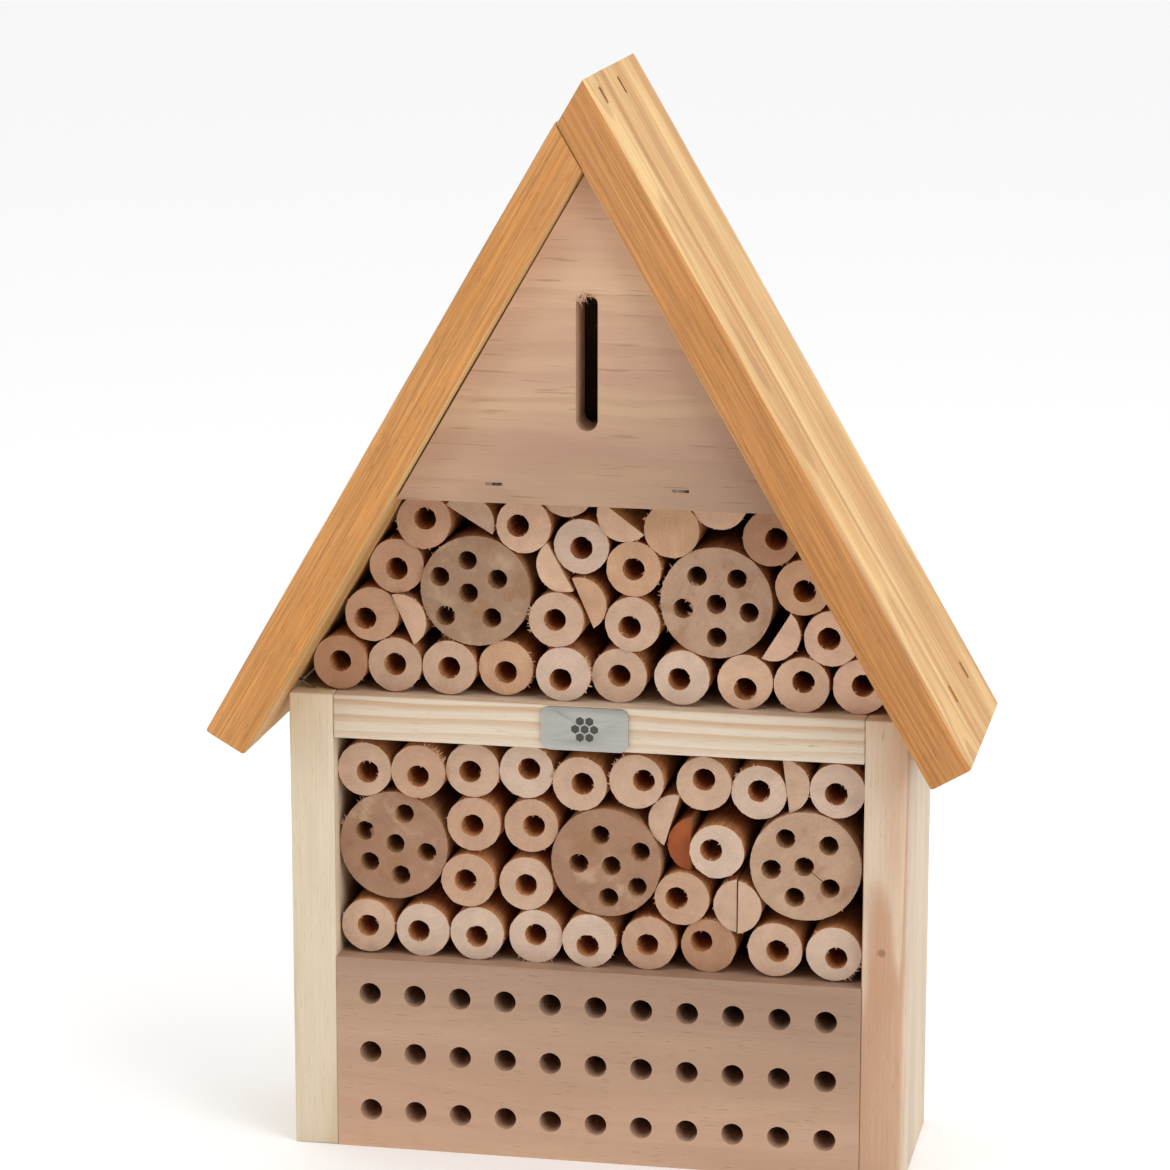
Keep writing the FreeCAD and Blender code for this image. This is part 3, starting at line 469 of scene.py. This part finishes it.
ALDER = (188, 152, 126)
ALDER_LATE = (168, 128, 104)
ALDER_PALE = (198, 163, 136)

block = copy_of("drilled_block", "alder_block")
smooth(block)
# Painted light: the block is made lighter towards the bottom and the left, and darker towards the top.
block.data.materials.append(board_wood(
    "planed_alder", LYING, (0, 0.4, -0.12), 3.5, ALDER, ALDER_LATE, ALDER_PALE, line=0.2, wander=7.0,
    dashes=0.3, drift=0.8, soft=0.2, painted_light_slope=(1.13, -0.0006, -0.0055),
))
finish_piece(block, "alder_block", "drilled_block")

# ---- Drilled rods, rounds and split rods ----
# Peeled sticks, sawn to length and drilled from the front, or split down the middle and wedged
# between the others. The saw and the drill leave torn fibres at the rims and round the bores.

# Bright, brown and umber are lifted above the sticks' own wood colour: painted light on sticks that lie in
# the roof's shade. The other tones are the sticks' own colours.
LOOKS = {
    "bright": (222, 184, 158),
    "pale": (205, 178, 157),
    "light": (211, 175, 147),
    "beige": (198, 165, 140),
    "tan": (190, 153, 126),
    "ginger": (200, 159, 126),
    "brown": (194, 154, 126),
    "umber": (179, 136, 107),
    "rust": (160, 85, 46),
    "bark": (166, 134, 109),
    "earth": (161, 123, 98),
    "dusk": (184, 150, 125),
}
TONES = {
    "upper_floor_rods": "umber beige beige ginger pale beige pale light light bright",
    "lower_floor_rods": "beige pale pale pale pale tan umber beige pale",
    "upper_half_rounds": "light beige light beige ginger light light bright",
    "lower_half_rounds": "beige rust beige beige beige",
    "upper_left_round": "bark",
    "upper_right_round": "dusk",
    "lower_left_round": "earth",
    "lower_middle_round": "earth",
    "lower_right_round": "dusk",
    "blank_rod": "ginger",
}
for tone, singles in (
    ("bright", "upper_rod_4"),
    ("pale", "upper_rod_10 lower_rod_6 lower_rod_10 lower_rod_14 lower_rod_15"),
    ("light", "upper_rod_9"),
    ("beige", "upper_rod_2 upper_rod_3 lower_rod_2 lower_rod_7 lower_rod_9"),
    ("beige", "lower_rod_11 lower_rod_12 lower_rod_13"),
    ("tan", "lower_rod_1 lower_rod_3 lower_rod_4 lower_rod_5 lower_rod_8"),
    ("ginger", "upper_rod_6 upper_rod_7"),
    ("brown", "upper_rod_1 upper_rod_5 upper_rod_8"),
    ("umber", "upper_rod_11"),
):
    TONES.update({node: tone for node in singles.split()})

# Torn rims, by node and by the stick's number in it, counted from the left. Each has the two
# angles that it lies between, its count of fibres, and their length in millimetres.
FRAYS = {
    ("lower_floor_rods", 3): (225, 310, 18, 2.4),
    ("lower_floor_rods", 6): (50, 130, 18, 2.0),
    ("lower_floor_rods", 8): (290, 350, 14, 2.2),
    ("lower_rod_8", 0): (20, 80, 14, 2.6),
    ("lower_rod_11", 0): (130, 200, 12, 1.8),
    ("lower_rod_12", 0): (110, 190, 12, 1.8),
    ("lower_rod_14", 0): (100, 170, 12, 1.8),
    ("lower_left_round", 0): (100, 165, 26, 2.4),
    ("upper_floor_rods", 3): (-40, 40, 12, 1.8),
    ("upper_floor_rods", 4): (-40, 40, 12, 1.8),
    ("upper_left_round", 0): (190, 250, 16, 1.8),
    ("upper_right_round", 0): (140, 215, 26, 2.0),
    ("upper_rod_2", 0): (150, 215, 14, 2.0),
    ("blank_rod", 0): (100, 165, 12, 1.8),
}


def stick_wood(name, ring, side, blotch=0.0):
    """Sawn end grain on the faces across the stick, and warm peeled wood along its sides.

    Ring is the ring width in millimetres, side the colour of the peeled wood, and blotch the
    strength of the damp patches.
    """
    material, tree = start_material(name)
    place = joint(tree, "Attribute", attribute_name="from_heart").outputs["Vector"]
    tone_and_painted_light = joint(tree, "Attribute", attribute_name="tone_and_painted_light").outputs["Color"]
    spot = in_millimetres(tree, place)
    part = joint(tree, "SeparateXYZ", {0: spot}).outputs
    radius = off_axis(tree, part[0], part[2])

    cloudy = cloud(tree, spot, (0.16, 0.16, 0.16), 3.0, 0.55)
    grit = cloud(tree, spot, (2.2, 2.2, 2.2), 2.0, 0.6)
    saw = cloud(tree, spot, (0.07, 0.07, 2.0), 2.0, 0.5)
    rings = plus(tree, radius, times(tree, cloudy, 7.0))
    rings = sums(tree, "SINE", times(tree, rings, 2 * math.pi / ring))
    angle = sums(tree, "ARCTAN2", part[0], part[2])
    fan = {0: times(tree, angle, 14.0), 1: times(tree, radius, 0.25)}
    fan = joint(tree, "CombineXYZ", fan).outputs[0]
    rays = joint(tree, "TexNoise", {"Vector": fan, "Scale": 1.0, "Detail": 2.0}).outputs[0]
    shade = plus(tree, 0.80, times(tree, cloudy, 0.42))
    shade = plus(tree, shade, times(tree, rings, 0.014))
    for pattern, contrast in ((saw, 0.22), (rays, 0.12), (grit, 0.30)):
        shade = plus(tree, shade, times(tree, sums(tree, "SUBTRACT", pattern, 0.5), contrast))
    # The end grain takes each stick's tone, which on some sticks is lifted as painted light.
    face = tinted(tree, tone_and_painted_light, shade)
    if blotch:
        damp = cloud(tree, spot, (0.09, 0.09, 0.09), 4.0, 0.6)
        face = blend(tree, times(tree, between(tree, damp, 0.52, 0.68), blotch), face, dye(150, 108, 70))
        face = blend(tree, times(tree, between(tree, damp, 0.46, 0.30), blotch), face, dye(200, 172, 140))

    fibre = cloud(tree, spot, (1.4, 0.05, 1.4), 3.0, 0.6)
    peeled = tinted(tree, dye(*side), between(tree, fibre, 0.3, 0.7, 0.78, 1.15))
    normal = joint(tree, "NewGeometry").outputs["True Normal"]
    across = sums(tree, "ABSOLUTE", joint(tree, "SeparateXYZ", {0: normal}).outputs[1])
    colour = blend(tree, between(tree, across, 0.5, 0.75), peeled, face)
    height = plus(tree, times(tree, rays, 0.5), times(tree, fibre, 0.6))
    close_material(tree, colour, 0.78, plus(tree, times(tree, grit, 0.5), height), 0.2, 0.25)
    return material


STICK_WOODS = {
    "rod_wood": stick_wood("rod_wood", 1.9, (200, 140, 92)),
    "round_wood": stick_wood("round_wood", 2.6, (184, 140, 100), blotch=0.55),
    "split_wood": stick_wood("split_wood", 1.9, (200, 146, 100)),
}
CRACK_WIDTH = 0.25 * mm
DENT_DEPTH = 0.5 * mm
CHIP_DEPTH = 0.45 * mm
chips = lumps("saw_chips", 1.1 * mm)
dents = lumps("whittled_flats", 7 * mm)
dice = random.Random(5)


def kind_of_stick(node):
    """Which of the woods a node's sticks are, and the name of their slot."""
    if "half" in node:
        return "split_wood"
    return "round_wood" if node.endswith("_round") else "rod_wood"


def sawn_stick(piece, look, frays):
    """Turns one plain stick into a peeled and sawn one: uneven sides, a chipped rim, torn fibres."""
    front = min(vertex.co.y for vertex in piece.data.vertices)
    xs = [vertex.co.x for vertex in piece.data.vertices]
    zs = [vertex.co.z for vertex in piece.data.vertices]
    centre = Vector(((min(xs) + max(xs)) / 2, front, (min(zs) + max(zs)) / 2))
    pick(piece)
    bpy.ops.object.mode_set(mode="EDIT")
    for depth in (0.5, 1.6, 4.0, 12.0):
        bpy.ops.mesh.select_all(action="SELECT")
        bpy.ops.mesh.bisect(plane_co=(0, front + depth * mm, 0), plane_no=(0, 1, 0))
    bpy.ops.object.mode_set(mode="OBJECT")
    rim = piece.vertex_groups.new(name="rim")
    for vertex in piece.data.vertices:
        depth = (vertex.co.y - front) / mm
        rim.add([vertex.index], 1.0 if depth < 0.6 else 0.35 if depth < 2 else 0.15, "REPLACE")
    roughen(piece, dents, DENT_DEPTH)
    roughen(piece, chips, CHIP_DEPTH, "rim")
    piece.vertex_groups.clear()
    for vertex in piece.data.vertices:
        vertex.co.y = max(vertex.co.y, front)
    for first, last, count, length in frays:
        fray(piece, centre, first, last, count, length)
    fray(piece, centre, 0, 359, 4, 1.2, inner=True)
    fray(piece, centre, 0, 359, 5, 1.0)

    # Both attributes are added before either is fetched, because adding one moves the other.
    piece.data.attributes.new("from_heart", "FLOAT_VECTOR", "POINT")
    piece.data.attributes.new("tone_and_painted_light", "FLOAT_COLOR", "POINT")
    heart = piece.data.attributes["from_heart"]
    tone_and_painted_light = piece.data.attributes["tone_and_painted_light"]
    off = Vector((dice.uniform(-2, 2) * mm, dice.uniform(0, 9), dice.uniform(-2, 2) * mm))
    roll = Matrix.Rotation(dice.uniform(0, math.pi), 3, "Y")
    for vertex in piece.data.vertices:
        heart.data[vertex.index].vector = roll @ (vertex.co - centre) + off
        tone_and_painted_light.data[vertex.index].color = dye(*look)


def fray(piece, centre, first, last, count, length, inner=False):
    """Torn fibres between two angles, at the front rim or round the holes inside it.

    Angles are in degrees, seen from the front and counted from the right, and length is in
    millimetres. The fibres are small cones, leaning outwards from where they are rooted.
    """
    roots = []
    for vertex in piece.data.vertices:
        out = Vector((vertex.normal.x, 0, vertex.normal.z))
        arm = Vector((vertex.co.x - centre.x, 0, vertex.co.z - centre.z))
        turn = math.degrees(math.atan2(arm.z, arm.x))
        at_rim = vertex.co.y - centre.y < 0.3 * mm and out.length > 0.3
        if at_rim and (out.dot(arm) < 0) == inner and (turn - first) % 360 <= last - first:
            roots.append((vertex.co.copy(), out.normalized()))
    pick(piece)
    bpy.ops.object.mode_set(mode="EDIT")
    for _ in range(count if roots else 0):
        root, out = dice.choice(roots)
        reach = length * mm * dice.uniform(0.5, 1.2)
        lean = Vector((dice.uniform(-0.9, 0.9), dice.uniform(0.0, 0.1), dice.uniform(-0.9, 0.9)))
        way = (out + lean).normalized()
        sunk = Vector((0, dice.uniform(0.1, 0.45) * mm, 0))
        spot = root + way * reach * 0.35 + sunk
        bpy.ops.mesh.primitive_cone_add(
            vertices=4, radius1=dice.uniform(0.18, 0.5) * mm, depth=reach, location=spot,
            rotation=way.to_track_quat("Z", "Y").to_euler(),
        )
    bpy.ops.object.mode_set(mode="OBJECT")


def hair_crack(piece, start, end):
    """A drying crack in the front face, from one spot to another in millimetres off its middle."""
    low = Vector(map(min, zip(*(vertex.co for vertex in piece.data.vertices))))
    high = Vector(map(max, zip(*(vertex.co for vertex in piece.data.vertices))))
    middle = Vector(((low.x + high.x) / 2, low.y, (low.z + high.z) / 2))
    run = (end - start) * mm
    bpy.ops.object.select_all(action="DESELECT")
    bpy.ops.mesh.primitive_cube_add(
        size=1, location=middle + (start + end) * mm / 2,
        rotation=(0, -math.atan2(run.z, run.x), 0), scale=(run.length, 6 * mm, CRACK_WIDTH),
    )
    wedge = bpy.context.object
    apply_modifier(piece, "BOOLEAN", operation="DIFFERENCE", object=wedge)
    bpy.data.objects.remove(wedge)


def loose_sticks(node):
    """The node's separate solids as pieces, from left to right."""
    whole = copy_of(node, node + "_stick")
    pick(whole)
    bpy.ops.object.mode_set(mode="EDIT")
    bpy.ops.mesh.select_all(action="SELECT")
    bpy.ops.mesh.separate(type="LOOSE")
    bpy.ops.object.mode_set(mode="OBJECT")
    sticks = bpy.context.selected_objects
    return sorted(sticks, key=lambda stick: min(vertex.co.x for vertex in stick.data.vertices))


fill = [node for node in sorted(frame["nodes"]) if "rod" in node or "round" in node]
for node in fill:
    sticks = loose_sticks(node)
    if node == "lower_right_round":
        hair_crack(sticks[0], Vector((1, 0, -1)), Vector((11, 0, -9)))
    for number, (stick, tone) in enumerate(zip(sticks, TONES[node].split())):
        torn = [FRAYS[node, number]] if (node, number) in FRAYS else []
        sawn_stick(stick, LOOKS[tone], torn)
    pick(*sticks)
    if len(sticks) > 1:
        bpy.ops.object.join()
    bundle = bpy.context.object
    bundle.name = node + "_sawn"
    bundle.data.materials.clear()
    kind = kind_of_stick(node)
    bundle.data.materials.append(STICK_WOODS[kind])
    smooth(bundle, 40)
    finish_piece(bundle, kind, node)

# ---- Gable panel ----
# A triangular panel with one long slot, planed and bare, its grain level. The cutter has left torn
# fibres at the upper end of the slot.

GABLE = (194, 155, 130)
GABLE_LATE = (162, 117, 95)
GABLE_PALE = (206, 170, 138)

gable = copy_of("gable_panel", "slotted_gable")
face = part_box("gable_panel")[0].y
openings = {opening["name"]: opening["box_m"] for opening in frame["record"]["physics"]["openings"]}
slot_foot, slot_top = openings["gable_slot"]
fray(gable, Vector((0, face, (slot_foot[2] + slot_top[2]) / 2)), 60, 120, 16, 4.0, inner=True)
smooth(gable)
# Painted light and shade: the face is made darker towards the right, where the right roof board shades it,
# and lighter towards the top.
gable.data.materials.append(board_wood(
    "gable_face", LYING, (0, 0.5, 0.05), 4.5, GABLE, GABLE_LATE, GABLE_PALE, line=0.25, wander=11.0,
    dashes=0.3, drift=1.0, soft=0.22, pores=(0.04, 0.9, 0.9), painted_light_slope=(-0.46, -0.002, 0.0049),
))
finish_piece(gable, "gable_wood", "gable_panel")

# ---- Attic floor and back panel ----
# The attic floor is a bare softwood board. The back panel is thin plywood, whose three plies show
# along its edges, with holes for the screws and for the end of a wall pin.

ATTIC_WAVES = 0.1 * mm

attic = copy_of("attic_floor", "attic_board")
roughen(attic, sawn, ATTIC_WAVES)
smooth(attic)
attic.data.materials.append(board_wood(
    "attic_spruce", LYING, (0, 0.3, -0.1), 2.2, (206, 178, 144), (180, 138, 98), (216, 192, 160),
))
finish_piece(attic, "attic_wood", "attic_floor")


def ply_edge(front, back):
    """The panel's edge: two pale plies with a dark one between them, from its front to its back."""
    material, tree = start_material("ply_edge")
    place = joint(tree, "TexCoord").outputs["Object"]
    depth = between(tree, joint(tree, "SeparateXYZ", {0: place}).outputs[1], front, back)
    core = times(tree, between(tree, depth, 0.28, 0.33), between(tree, depth, 0.67, 0.72, 1.0, 0.0))
    streak = cloud(tree, in_millimetres(tree, place), (0.5, 3.0, 0.5), 3.0, 0.6)
    colour = blend(tree, core, dye(206, 172, 128), dye(160, 116, 76))
    colour = tinted(tree, colour, between(tree, streak, 0.3, 0.7, 0.85, 1.1))
    close_material(tree, colour, 0.8, streak, 0.15, 0.25)
    return material


ply = copy_of("back_panel", "back_plywood")
smooth(ply)
ply.data.materials.append(board_wood(
    "ply_veneer", LYING, (0, 0.9, 0.3), 9.0, (208, 176, 132), (178, 134, 90), (218, 190, 150),
    line=0.5, wander=14.0, dashes=0.3, drift=0.8,
))
low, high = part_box("back_panel")
ply.data.materials.append(ply_edge(low.y, high.y))
for polygon in ply.data.polygons:
    polygon.material_index = 1 if abs(polygon.normal.y) < 0.5 else 0
finish_piece(ply, "back_plywood", "back_panel")

# ---- Name plate, hanger, screws and staples ----
# A brushed plate with an engraved honeycomb is glued to the shelf. The hanger is a zinc-plated
# plate held by two cross-head screws. The staples are flat wire, driven flush and slightly dull.

PLATE_EASE = 0.1 * mm
HANGER_EASE = 0.25 * mm
SCREW_EASE = 0.2 * mm
WIRE_EASE = 0.08 * mm
SCREW_SLOT_DEPTH = 1.2 * mm
SCREW_CROSS = ((0.6, 0.17), (0.17, 0.6))


def metal(name, tone, rough, brush, stretch, dull=(60, 52, 44), worn=0.0):
    """Bare metal, brushed along its narrow stretch, with dull patches where worn is set."""
    material, tree = start_material(name)
    spot = in_millimetres(tree, joint(tree, "TexCoord").outputs["Object"])
    lines = cloud(tree, spot, stretch, 3.0, 0.65)
    patch = between(tree, cloud(tree, spot, (0.5, 0.5, 0.5), 3.0, 0.6), 0.4, 0.65)
    colour = tinted(tree, dye(*tone), between(tree, lines, 0.25, 0.75, 1.0 - brush, 1.0 + brush))
    colour = blend(tree, times(tree, patch, worn), colour, dye(*dull))
    relief = joint(tree, "Bump", {"Height": lines, "Distance": 0.02 * mm, "Strength": 1.0}).outputs[0]
    roughness = plus(tree, rough, times(tree, lines, 0.2))
    links = {"Base Color": colour, "Metallic": 0.85, "Roughness": roughness, "Normal": relief}
    skin = joint(tree, "BsdfPrincipled", links)
    tree.links.new(skin.outputs[0], joint(tree, "OutputMaterial").inputs[0])
    return material


plate = copy_of("nameplate", "honeycomb_plate")
low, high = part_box("nameplate")
ease_edges(plate, lambda spot: spot.y < low.y + NEAR, PLATE_EASE, 2)
plate.data.materials.append(metal("brushed_plate", (180, 178, 172), 0.38, 0.10, (0.04, 0.5, 5.0)))
plate.data.materials.append(metal("engraved_cells", (96, 92, 88), 0.6, 0.2, (2.0, 2.0, 2.0)))
for polygon in plate.data.polygons:
    below_face = all(plate.data.vertices[k].co.y > low.y + 0.2 * mm for k in polygon.vertices)
    in_front_half = polygon.center.y < (low.y + high.y) / 2
    if below_face and in_front_half and polygon.normal.y < -0.5:
        polygon.material_index = 1
smooth(plate)
finish_piece(plate, "brushed_plate", "nameplate")

hanger = copy_of("hanger_plate", "zinc_hanger")
ease_sharp(hanger, HANGER_EASE)
smooth(hanger)
hanger.data.materials.append(metal(
    "hanger_zinc", (178, 178, 174), 0.3, 0.12, (0.6, 0.6, 0.6), (120, 116, 108), 0.5,
))
finish_piece(hanger, "hanger_steel", "hanger_plate")

screws = copy_of("hanger_screws", "cross_head_screws")
low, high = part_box("hanger_screws")
head = high.z - low.z
for across in (low.x + head / 2, high.x - head / 2):
    for width, height in SCREW_CROSS:
        bpy.ops.object.select_all(action="DESELECT")
        bpy.ops.mesh.primitive_cube_add(
            size=1, location=(across, high.y, (low.z + high.z) / 2),
            scale=(head * width, 2 * SCREW_SLOT_DEPTH, head * height),
        )
        slot = bpy.context.object
        apply_modifier(screws, "BOOLEAN", operation="DIFFERENCE", object=slot)
        bpy.data.objects.remove(slot)
ease_sharp(screws, SCREW_EASE)
smooth(screws)
screws.data.materials.append(metal(
    "screw_zinc", (188, 186, 178), 0.28, 0.08, (0.8, 0.8, 0.8), (130, 122, 104), 0.4,
))
finish_piece(screws, "screw_steel", "hanger_screws")

wire = metal("dull_wire", (150, 132, 112), 0.5, 0.15, (1.5, 1.5, 1.5), (58, 42, 32), 0.9)
for node in [node for node in sorted(frame["nodes"]) if node.endswith("staples")]:
    staples = copy_of(node, node + "_wire")
    ease_sharp(staples, WIRE_EASE, least=50)
    smooth(staples)
    staples.data.materials.append(wire)
    finish_piece(staples, "staple_steel", node)

# ---- Floor, light and camera ----
# The house stands on a white floor between three soft lights, and is seen from the right and a
# little above. The studio is white all round, with a dark card behind the camera, so that deep
# gaps stay dark.

EYE = Vector((0.2672, -1.3926, 0.5299))
AIM = Vector((-0.00378, -0.0227, 0.21248))
LENS = 126.7
SENSOR = 36
CARD_LIGHT = 0.10
STUDIO_LIGHT = 1.05

bpy.ops.object.select_all(action="DESELECT")
bpy.ops.mesh.primitive_plane_add(size=12, location=(0, 2, cad_box[0].z))
floor = bpy.context.object
floor.name = "floor"
paint, tree = start_material("pale_floor")
close_material(tree, dye(250, 250, 250), 0.9, 0.0, 0.0)
floor.data.materials.append(paint)

world = bpy.data.worlds.new("studio")
world.use_nodes = True
tree = world.node_tree
way = joint(tree, "SeparateXYZ", {0: joint(tree, "TexCoord").outputs["Generated"]}).outputs[1]
tree.nodes["Background"].inputs["Color"].default_value = (1.0, 1.0, 1.0, 1.0)
light = between(tree, way, -0.95, -0.5, CARD_LIGHT, STUDIO_LIGHT)
tree.links.new(light, tree.nodes["Background"].inputs["Strength"])
bpy.context.scene.world = world


def soft_light(name, place, target, size, power):
    """A round softbox at a place, turned to a target. Its size is in metres and its power in watts."""
    bpy.ops.object.light_add(type="AREA", location=place)
    lamp = bpy.context.object
    lamp.name = name
    lamp.data.shape = "DISK"
    lamp.data.size = size
    lamp.data.energy = power
    lamp.rotation_euler = (Vector(target) - Vector(place)).to_track_quat("-Z", "Y").to_euler()


middle = (cad_box[0] + cad_box[1]) / 2
soft_light("left_softbox", (-1.2, -1.1, 0.9), middle, 0.8, 3.5)
soft_light("right_softbox", (1.2, -1.1, 0.8), middle, 0.8, 5.5)
soft_light("top_softbox", (1.0, -0.4, 1.7), middle, 0.9, 7)

bpy.ops.object.camera_add(location=EYE, rotation=(AIM - EYE).to_track_quat("-Z", "Y").to_euler())
camera = bpy.context.object
camera.name = "camera"
camera.data.lens = LENS
camera.data.sensor_width = SENSOR
bpy.context.scene.camera = camera
bpy.context.scene.view_settings.view_transform = "Standard"
